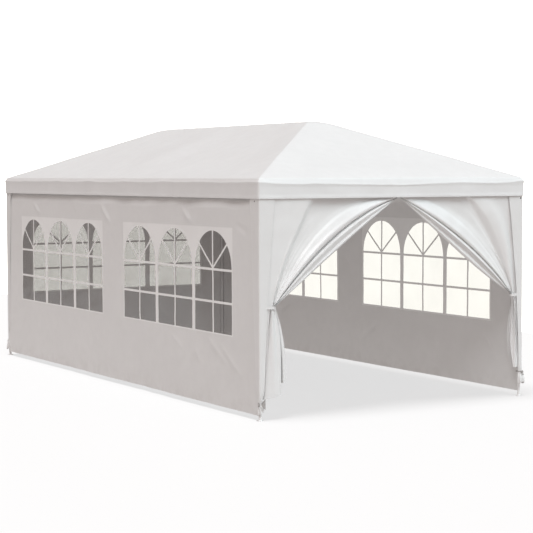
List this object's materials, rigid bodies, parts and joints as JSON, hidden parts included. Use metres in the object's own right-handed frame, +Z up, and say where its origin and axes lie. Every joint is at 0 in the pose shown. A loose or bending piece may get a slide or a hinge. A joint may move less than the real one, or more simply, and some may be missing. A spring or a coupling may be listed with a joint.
{
  "type": "marquee tent",
  "caption": "Hipped sheet-covered party tent on a tube frame, with valance, long walls and a back wall with arched film windows, and a front doorway with drawn-back curtains.",
  "frame": {"origin": "on the ground under the middle of the tent", "axes": "+Z up, -Y out through the doorway, +X to the right as seen from in front of the doorway"},
  "size_m": [3.014, 6.014, 2.7],
  "materials": {
    "tube_steel": "white coated steel tube",
    "cover_sheet": "white woven and coated sheet",
    "wall_sheet": "white woven and coated sheet",
    "window_film": "clear flexible film"
  },
  "bodies": {
    "root": {"leg_front_left": "tube_steel", "leg_front_right": "tube_steel", "leg_back_left": "tube_steel", "leg_back_right": "tube_steel", "corner_connector_front_left": "tube_steel", "corner_connector_front_right": "tube_steel", "corner_connector_back_left": "tube_steel", "corner_connector_back_right": "tube_steel", "side_connector_left": "tube_steel", "side_connector_right": "tube_steel", "ridge_connector_front": "tube_steel", "ridge_connector_middle": "tube_steel", "ridge_connector_back": "tube_steel", "eave_rail_front": "tube_steel", "eave_rail_back": "tube_steel", "eave_rail_left_front": "tube_steel", "eave_rail_left_back": "tube_steel", "eave_rail_right_front": "tube_steel", "eave_rail_right_back": "tube_steel", "hip_rafter_front_left": "tube_steel", "hip_rafter_front_right": "tube_steel", "hip_rafter_back_left": "tube_steel", "hip_rafter_back_right": "tube_steel", "middle_rafter_left": "tube_steel", "middle_rafter_right": "tube_steel", "ridge_tube_front": "tube_steel", "ridge_tube_back": "tube_steel", "roof_cover": "cover_sheet", "wall_left": "wall_sheet", "wall_right": "wall_sheet", "window_film_front_left": "window_film", "window_film_back_left": "window_film", "window_film_front_right": "window_film", "window_film_back_right": "window_film", "corner_flap_front_left": "wall_sheet", "corner_flap_front_right": "wall_sheet", "corner_flap_back_left": "wall_sheet", "corner_flap_back_right": "wall_sheet", "back_wall": "wall_sheet", "window_film_back_wall": "window_film", "front_curtain_left": "wall_sheet", "front_curtain_right": "wall_sheet", "curtain_tie_left": "wall_sheet", "curtain_tie_right": "wall_sheet"}
  },
  "joints": []
}
